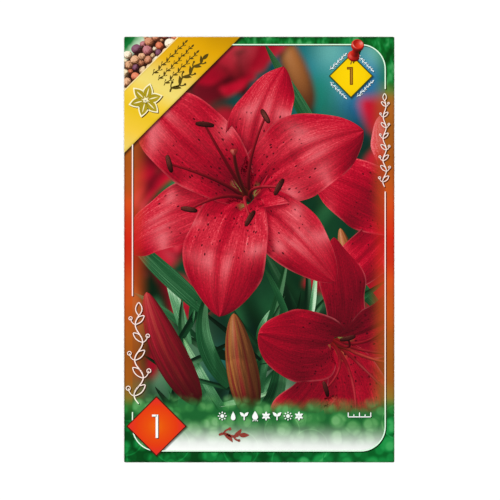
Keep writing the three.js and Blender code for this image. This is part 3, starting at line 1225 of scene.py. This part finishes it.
def bandColour(add, place):
    x, y, _ = add("SeparateXYZ", place).outputs
    across = add("Math", y, x, operation="SUBTRACT")
    along = add("Math", across, bandForm["slant"], add("Math", x, y), operation="MULTIPLY_ADD")
    colour = blended(add, place, along, bandForm)
    # a darker olive fringe along both edges
    middle, half = [(layout["bandHead"] + side * layout["bandFoot"]) / 2 for side in (1, -1)]
    away = add("Math", add("Math", across, -middle), operation="ABSOLUTE")
    fringe = add("MapRange", away, half - bandForm["fringeWidth"], half, 0.0, bandForm["fringeShare"])
    return add("Mix", fringe, colour, bandForm["fringe"])


band = roundedSheet("print_corner_band", cardBox, layout["cardRadius"], ink["band"])
cutAway(band, ((0, layout["bandFoot"]), toPicture), ((0, layout["bandHead"]), toCorner))
onCard(band, inkMaterial("gold_band", bandColour))
offset = layout["bandHead"] - bandForm["lineInset"]
creamTrack = [(leftEdge, leftEdge + offset), (topEdge - offset, topEdge)]
creamStroke = creamTrack, bandForm["lineWidth"], "line"
cutAway(*printStrokes("print_band_line", [creamStroke], "cream_line", ink["mark"], None), *edgeCuts)

# The corner behind the band: a heap of small bulbs, then a pale glow, then leaf green
cornerDepth = 27.0
cornerBlend = {
    "patch": 5, "detail": 2.0, "waver": 5.0, "span": (layout["bandHead"], layout["bandHead"] + cornerDepth),
    "tones": [(0.0, "#2A120A"), (0.54, "#34190E"), (0.62, "#C9DCC0"), (0.72, "#8DBB90"), (0.82, "#127434"),
              (1.0, "#005A1C")],
}


def cornerColour(add, place):
    x, y, _ = add("SeparateXYZ", place).outputs
    return blended(add, place, add("Math", y, x, operation="SUBTRACT"), cornerBlend)


corner = roundedSheet("print_bulb_corner", cardBox, layout["cardRadius"], ink["corner"])
cutAway(corner, ((0, layout["bandHead"]), toPicture))
onCard(corner, inkMaterial("bulb_corner", cornerColour))

bulbHeap = {
    "radius": (0.9, 2.5), "shrink": 2.0, "sizeLuck": (0.7, 1.0), "length": 1.45, "lobes": 5,
    "lean": (0, 0.5, 0.5), "leanLuck": (1, 1, 0.4), "heightLuck": 1.2,
    "tries": 4000, "overlap": 0.86, "depth": (-2, 14.2), "ripple": 1.2, "ripples": 0.7, "beyond": 1.5,
    "behindBand": 0.1,
    "skins": ["#FFF4DC", "#EED0A4", "#F6E6C0", "#9C6488", "#E88460", "#F4C29C", "#D69270", "#84506C",
              "#E8B48C", "#C07880"],
    "veins": [(2.0, 11.0, 0.50), (6.0, 6.0, 0.35), (16.0, 12.0, 0.40)], "gleam": "#FFF4E0", "sheen": 0.4,
    "shade": [(0.0, "#1C0B07"), (0.20, "#846C5C"), (0.38, "#EADFD2"), (0.6, "#FFFFFF")],
}


def bulbColour(add, place):
    along, across, _, light, sheen = storedValues(add)
    shade = add("ValToRGB", veined(add, along, across, light, bulbHeap["veins"]), stops=bulbHeap["shade"])
    skin = add("Attribute", attribute_name="skin")
    colour = add("Mix", 1.0, skin, shade, blend_type="MULTIPLY")
    sheen = add("Math", sheen, bulbHeap["sheen"], operation="MULTIPLY")
    return add("Mix", sheen, colour, bulbHeap["gleam"])


# A round body with a pointed nose, and faint lobes where the scales lie
def bulbRadius(size, lobes, along, angle):
    body = np.sqrt(np.maximum(1 - (2 * np.clip(along / 0.86, 0, 1) - 1) ** 2, 0))
    nose = 0.22 * np.maximum(1 - along, 0) ** 0.5 * ease(along, 0.66, 0.90)
    return size * (0.95 * body + nose) * (1 + 0.05 * np.sin(lobes * angle)) + 0.01


# Bulbs are dropped one by one where they still find room between the others
def bulbPlaces():
    (low, high), (under, depth) = bulbHeap["radius"], bulbHeap["depth"]
    beyond, places = bulbHeap["beyond"], []
    for number in range(bulbHeap["tries"]):
        x = draws.uniform(-halfWidth - beyond, -halfWidth + cornerDepth)
        y = draws.uniform(halfHeight - cornerDepth, halfHeight + beyond)
        late = (1 - number / bulbHeap["tries"]) ** bulbHeap["shrink"]
        size = low + (high - low) * late * draws.uniform(*bulbHeap["sizeLuck"])
        behind = y - x - layout["bandHead"]
        ripple = bulbHeap["ripple"] * math.sin(bulbHeap["ripples"] * (x + y))
        room = all(math.hypot(x - px, y - py) > bulbHeap["overlap"] * (size + ps) for px, py, ps in places)
        if under < behind < depth + ripple and room:
            places.append((x, y, size))
    return places


def heapedBulbs():
    pieces = []
    for number, (x, y, size) in enumerate(bulbPlaces()):
        luck = draws.uniform(-1, 1, 4)
        centre = np.array((x, y, luck[3] * bulbHeap["heightLuck"] + size))
        way = unit(bulbHeap["lean"] + luck[:3] * bulbHeap["leanLuck"])
        track = [centre - way * size, centre, centre + way * size * bulbHeap["length"]]
        shape = tubeShape(track, partial(bulbRadius, size, bulbHeap["lobes"] + number % 3))
        pieces.append(shapedGrid(f"bulb_{number}", gridSteps["bulb"], shape, "bulb"))
        skin = linear(bulbHeap["skins"][int(draws.integers(len(bulbHeap["skins"])))])
        skins = np.tile([*skin, 1], (len(pieces[-1].data.vertices), 1))
        storeOnPoints(pieces[-1], "skin", skins, "FLOAT_COLOR")
    deep = exposeAll(pieces)
    bulbs = joined("print_bulb_heap", pieces)
    pressFlat(bulbs, ink["bulbs"], ink["bulbsDepth"], deep)
    cutAway(bulbs, ((0, layout["bandHead"] + bulbHeap["behindBand"]), toPicture), *edgeCuts)
    onCard(bulbs, inkMaterial("bulb_skin", bulbColour))


heapedBulbs()
print("card: band and corner printed")

# Both badges deepen from the middle to the corners, and carry a plain figure one: a bar and a short flag
badges = {
    "top": {"ink": "yellow_badge", "rim": "olive_outline", "deepest": 9.0,
            "fill": [(0.0, "#F7D000"), (0.7, "#F2CA00"), (1.0, "#E8BE00")],
            "height": 8.4, "bar": 1.5, "flag": 2.1, "flagWidth": 1.2},
    "foot": {"ink": "red_badge", "rim": "maroon_outline", "deepest": 12.5,
             "fill": [(0.0, "#E46206"), (0.35, "#E24C08"), (0.75, "#DE380E"), (1.0, "#DA2C22")],
             "height": 11.0, "bar": 1.15, "flag": 2.3, "flagWidth": 0.95},
}
figureShift, heartInset = 0.2, 0.85  # the top figure has an ochre heart, this much thinner


def badgeColour(side, add, place):
    x, y = layout[side + "Badge"]
    far = add("VectorMath", add("Mapping", place, Location=(-x, -y, -faceHeight)), operation="LENGTH")
    return add("ValToRGB", add("MapRange", far, 0.0, badges[side]["deepest"]), stops=badges[side]["fill"])


# A badge is a four-sided disc, inset for its dark outline
def badge(side):
    place = Vector((*layout[side + "Badge"], faceHeight + ink["badge"])) * mm
    reach, outline = layout[side + "Reach"], layout["badgeOutline"]
    piece = added(f"print_{side}_badge", bpy.ops.mesh.primitive_circle_add, vertices=4,
                  radius=(reach + outline) * mm, fill_type="NGON", location=place)
    bpy.ops.object.transform_apply(location=True, rotation=True, scale=True)
    fill = inkMaterial(badges[side]["ink"], partial(badgeColour, side))
    onCard(piece, inks[badges[side]["rim"]], fill)
    with editMode(piece):
        bpy.ops.mesh.inset(thickness=outline * mm)
        piece.active_material_index = 1
        bpy.ops.object.material_slot_assign()
    turnUp(piece)


def figureOne(side, thinner=0.0):
    x, y = layout[side + "Badge"]
    x, form = x + figureShift, badges[side]
    half = (form["height"] - thinner) / 2
    flag = y + (form["height"] - form["flagWidth"]) / 2
    return [([(x, y - half), (x, y + half)], form["bar"] - thinner, "line"),
            ([(x, flag), (x - form["flag"] + thinner / 2, flag)], form["flagWidth"] - thinner, "line")]


badge("top")
badge("foot")
heartLevel = ink["figure"] + ink["step"]
printStrokes("print_top_figure", figureOne("top"), "brown_figure", ink["figure"], None)
printStrokes("print_top_figure_heart", figureOne("top", heartInset), "ochre_figure", heartLevel, None)
printStrokes("print_foot_figure", figureOne("foot"), "white_knockout", ink["figure"], (0.35, -0.35))
print("card: badges printed")

# The left and right sprigs stand in the keyline's two gaps, the foot's signs on its green drops. Each has
# its foot and head, its sway and waves, the size of its leaves and the width of the pen.
sprigs = {
    "left": ((-56.6, -72.5), (-56.6, -31.0), 2.3, 2.5, 6.6, 0.54, True),
    "right": ((58.9, 29.5), (58.9, 70.0), 0.9, 4.0, 3.6, 0.42, True),
    "band": ((-41.9, 74.0), (-26.6, 89.3), 0.8, 3.0, 4.2, 0.85),
    "bandFirst": ((-50.2, 81.9), (-35.0, 97.1), 0.35, 4.0, 2.2, 0.42),
    "bandSecond": ((-47.5, 79.5), (-31.9, 95.1), 0.35, 4.5, 2.0, 0.40),
    "bandThird": ((-44.8, 77.1), (-29.6, 92.3), 0.35, 4.0, 2.2, 0.42),
    "foot": ((-19.0, -87.2), (-9.6, -87.2), 0.8, 1.0, 5.2, 1.2),
}
for side in ("left", "right"):
    printStrokes(f"print_{side}_sprig", sprig(*sprigs[side]), "white_keyline", ink["mark"])
bandSprigs = [stroke for key in sprigs if key.startswith("band") for stroke in sprig(*sprigs[key])]
printStrokes("print_band_sprigs", bandSprigs, "umber_sprig", ink["mark"], None)
printStrokes("print_foot_sprig", sprig(*sprigs["foot"]), "rust_sprig", ink["mark"], None)

# Growing signs in a row. A sign's strokes are given in its own height, by their ends, width and kind.
growingSigns = {
    "drop": [((0, 0.55), (0, -0.5), 0.72, "drop")],
    "sprout": [((0, -0.5), (0, 0.1), 0.1375, "round"), ((0, -0.05), (-0.5, 0.45), 0.34, "leaf"),
               ((0, -0.05), (0.5, 0.45), 0.34, "leaf")],
    "bulb": [((0, 0.6), (0, -0.42), 0.9, "drop"), ((-0.15, -0.40), (-0.3, -0.62), 0.0875, "round"),
             ((0, -0.40), (0, -0.62), 0.0875, "round"), ((0.15, -0.40), (0.3, -0.62), 0.0875, "round")],
}
footRow = {"first": (-17.4, -78.2), "step": 5.15, "size": 4.0,
           "sun": (0.442, 0.3224, 0.52, 0.5), "flower": (0.55, 0.26),  # heart, rays, pen; a petal's size
           "kinds": ("sun", "drop", "sprout", "bulb", "flower", "sprout", "sun", "flower")}
ruler = {"x": 41.8, "y": -78.6, "step": 2.65, "ticks": (2.1, 1.2, 2.1, 1.2, 2.1), "pen": 0.45}
signShade = (0.3, -0.3)


def growingSign(kind, middle, size):
    if kind == "sun":
        heart, near, far, pen = footRow["sun"]
        return [dot(*middle, size * heart)] + spokes(middle, 8, 0, size * near, size * far, pen, "round")
    if kind == "flower":
        length, width = footRow["flower"]
        return spokes(middle, 6, math.pi / 2, 0, size * length, size * width, "leaf")
    return [([middle + size * np.array(start), middle + size * np.array(end)], size * width, ends)
            for start, end, width, ends in growingSigns[kind]]


signs = []
for number, kind in enumerate(footRow["kinds"]):
    signs += growingSign(kind, np.array(footRow["first"]) + (number * footRow["step"], 0), footRow["size"])
printStrokes("print_growing_signs", signs, "white_knockout", ink["mark"], signShade)
x, y = ruler["x"], ruler["y"]
marks = [x + k * ruler["step"] for k in range(len(ruler["ticks"]))]
tracks = [[(x, y), (marks[-1], y)]] + [[(at, y), (at, y + tick)] for at, tick in zip(marks, ruler["ticks"])]
rulerStrokes = [(track, ruler["pen"], "round") for track in tracks]
printStrokes("print_size_ruler", rulerStrokes, "white_knockout", ink["mark"], signShade)

# A six-petalled rosette on the band, in olive gold with a cream outline: where its petals start and end,
# how wide they are, the ink, the level and the shade
rosette = {
    "centre": np.array((-53.4, 70.2)), "turn": math.radians(15), "middleDot": 2.4,
    "layers": [("print_rosette_outline", -0.4, 8.3, 5.1, "cream_outline", 0, (0.4, -0.4)),
               ("print_rosette", 1.0, 7.4, 3.8, "olive_gold", 1, None),
               ("print_rosette_ribs", 1.6, 6.0, 0.5, "cream_outline", 2, None)],
}
for name, start, end, width, filling, level, shade in rosette["layers"]:
    petals = spokes(rosette["centre"], 6, rosette["turn"], start, end, width, "leaf")
    petals += [] if level else [dot(*rosette["centre"], rosette["middleDot"])]
    printStrokes(name, petals, filling, ink["mark"] + level * ink["step"], shade)

# A fine sprig along each side of the top badge
badgeSprig = {"halfLength": 5.0, "away": 2.0, "form": (0.2, 3.5, 1.45, 0.26), "shade": (0.2, -0.2)}
fineSprigs = []
for out in directions(np.radians((45, 135, 225, 315))):
    slide = np.array((abs(out[1]), -out[0] * np.sign(out[1]))) * badgeSprig["halfLength"]
    middle = layout["topBadge"] + out * (layout["topReach"] / math.sqrt(2) + badgeSprig["away"])
    fineSprigs += sprig(middle - slide, middle + slide, *badgeSprig["form"])
printStrokes("print_badge_sprigs", fineSprigs, "pale_sky", ink["mark"], badgeSprig["shade"])
print("card: sprigs and signs printed")

# A red push pin at the top badge: needle, collar, waist and dished cap along one axis that leans out of the
# print. Its printed shade has the same parts, each between two shares of the way, and as wide as it is.
pushPin = {
    "track": [(43.0, 87.2, 0), (44.8, 92.3, 6.5), (46.5, 96.7, 12.5)],
    "along": [0, 0.30, 0.305, 0.34, 0.40, 0.48, 0.64, 0.76, 0.82, 0.86, 0.94, 0.98, 0.995, 0.97, 0.94, 0.93],
    "radius": [0.26, 0.42, 2.4, 2.85, 2.75, 1.85, 1.40, 1.6, 2.5, 2.9, 3.0, 2.8, 2.4, 2.0, 1.1, 0.0],
    "gleam": "#FFD8CC", "steel": "#8A6420", "steelEnd": 0.08,
    "shade": [(0.0, 0.3, 0.6), (0.38, 0.42, 4.6), (0.3, 1.0, 2.8), (0.78, 0.86, 4.4)],
    "shadeShift": (1.2, 0.3),
}


def pinColour(add, place):
    along, _, _, light, sheen = storedValues(add)
    colour = add("Mix", sheen, add("ValToRGB", light, stops=tones["pin"]), pushPin["gleam"])
    # the needle is brown steel as far as the collar
    steel = add("Math", along, pushPin["steelEnd"], operation="LESS_THAN")
    return add("Mix", steel, colour, pushPin["steel"])


def pinShape(along, across):
    steps = np.linspace(0, 1, len(pushPin["along"]))
    reach = np.interp(along, steps, pushPin["radius"]) + 0.01
    return tubeShape(pushPin["track"], lambda *_: reach)(np.interp(along, steps, pushPin["along"]), across)


pin = shapedGrid("print_push_pin", gridSteps["pin"], pinShape, "pin")
pressFlat(pin, ink["pin"], ink["pinDepth"], exposeAll([pin]))
onCard(pin, inkMaterial("red_pin", pinColour))
start, _, end = [np.array(point[:2]) + pushPin["shadeShift"] for point in pushPin["track"]]
shadow = [([start + (end - start) * first, start + (end - start) * last], width, "round")
          for first, last, width in pushPin["shade"]]
printStrokes("print_pin_shade", shadow, "dark_shade", ink["pinShade"], None)
print("card: pin printed")

# The board itself: solid bleached board, clay coated on its face, bare fibre along the cut edges. The
# fibres are 1.5 mm long and 0.12 mm thick, mostly along the card.
boardForm = {"settings": {"Roughness": 0.72, "IOR": 1.46}, "fibres": (3.0, 0.7, 8.0), "strength": 0.25,
             "depth": 0.02, "tones": [(0.3, "#E9E6DC"), (0.7, "#F6F4EE")]}


def boardPaint(add, place):
    fibres = add("TexNoise", add("Mapping", place, Scale=boardForm["fibres"]), Scale=1.0, Detail=3.0)
    bump = add("Bump", Height=fibres, Strength=boardForm["strength"], Distance=boardForm["depth"] * mm)
    return {"Base Color": add("ValToRGB", fibres, stops=boardForm["tones"]), "Normal": bump}


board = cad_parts["picture_card"]
board.data.materials.clear()
board.data.materials.append(newMaterial("coated_bleached_board", boardForm["settings"], boardPaint))

# The studio: a pale table, four big soft boxes low at the sides so that none is mirrored up into the lens
studio = {
    "tableSize": 3.0, "tableTones": [(0.3, "#FAFAF9"), (0.7, "#FDFDFC")], "tableCloud": 0.003,
    "tableSettings": {"Roughness": 0.9, "Specular IOR Level": 0.2},
    "boxes": 4, "boxSize": 0.55, "boxAway": 0.80, "boxUp": 0.72, "power": 4.65,
    "sky": "#F2F4F8", "skyPower": 0.11,
}


def tablePaint(add, place):
    cloud = add("TexNoise", place, Scale=studio["tableCloud"])
    return {"Base Color": add("ValToRGB", cloud, stops=studio["tableTones"])}


table = added("pale_table", bpy.ops.mesh.primitive_plane_add, size=studio["tableSize"],
              location=(0, 0, cardLow.z))
table.data.materials.append(newMaterial("matt_white_laminate", studio["tableSettings"], tablePaint))

for number in range(studio["boxes"]):
    turn = math.radians(45 + number * 360 / studio["boxes"])
    spot = Vector((math.cos(turn) * studio["boxAway"], math.sin(turn) * studio["boxAway"], studio["boxUp"]))
    light = added(f"soft_box_{number}", bpy.ops.object.light_add, type="AREA", location=spot)
    light.data.size = studio["boxSize"]
    light.data.energy = studio["power"]
    light.rotation_euler = (-spot).to_track_quat("-Z", "Y").to_euler()

world = bpy.data.worlds.new("pale_studio")
world.use_nodes = True
background = world.node_tree.nodes["Background"].inputs
background["Color"].default_value = (*linear(studio["sky"]), 1)
background["Strength"].default_value = studio["skyPower"]
bpy.context.scene.world = world
bpy.context.scene.view_settings.view_transform = "Standard"

# The camera looks straight down from far off, as the photograph does. The card's middle lies at
# pixel 259.25, 249.6 of a 500 pixel square frame, and one pixel is 0.46992 mm.
camera = {"frame": 500, "pixel": 0.46992, "middle": (259.25, 249.6), "lens": 200.0, "sensor": 36.0}
pixel = camera["pixel"] * mm
aimX = (camera["frame"] / 2 - camera["middle"][0]) * pixel
aimY = (camera["middle"][1] - camera["frame"] / 2) * pixel
away = camera["frame"] * pixel * camera["lens"] / camera["sensor"]
lens = added("camera_above", bpy.ops.object.camera_add, location=(aimX, aimY, cardHigh.z + away))
lens.data.lens = camera["lens"]
lens.data.sensor_width = camera["sensor"]
lens.data.clip_start = 0.05
lens.data.clip_end = 10
bpy.context.scene.camera = lens
